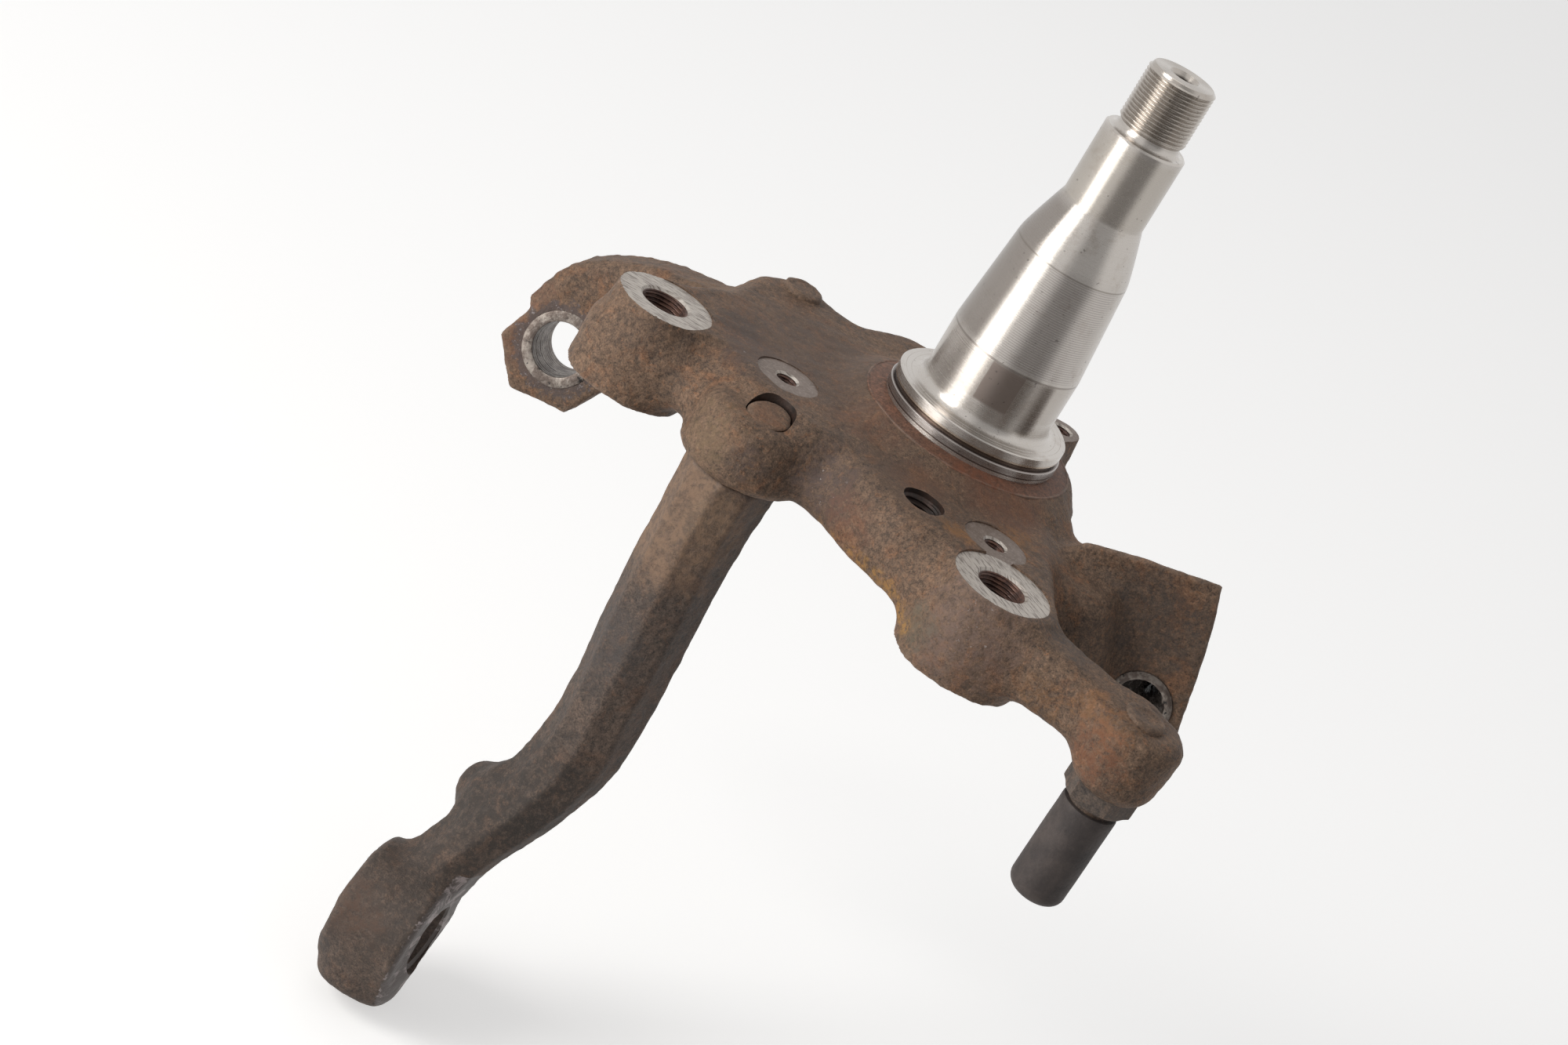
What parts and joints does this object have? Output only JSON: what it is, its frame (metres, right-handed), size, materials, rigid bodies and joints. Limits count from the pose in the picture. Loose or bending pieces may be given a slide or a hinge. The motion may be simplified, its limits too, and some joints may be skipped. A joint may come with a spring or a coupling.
{
  "type": "steering knuckle",
  "caption": "Forged steering knuckle with a turned wheel spindle, a plate with caliper bosses, a steering arm, a stop screw and two pivot eyes.",
  "frame": {"origin": "centre of the shoulder that the inner wheel bearing sits against, on the spindle's axis", "axes": "+Z outward along the wheel spindle, X parallel to the line through the two caliper bosses, the bosses and the steering arm on the -Y side"},
  "size_m": [0.3369, 0.234, 0.4276],
  "materials": {
    "forged_steel": "rough brown rust on forged skin, bright where machined",
    "arm_steel": "rough brown to black rust",
    "bush_steel": "satin, stained",
    "screw_steel": "dark oxidised",
    "cap_plastic": "matte dark grey"
  },
  "bodies": {
    "root": {"knuckle_forging": "forged_steel", "steering_arm": "arm_steel", "arm_stud": "screw_steel", "block_bush": "bush_steel", "eye_bush": "bush_steel", "stop_screw": "screw_steel", "stop_cap": "cap_plastic"}
  },
  "joints": []
}
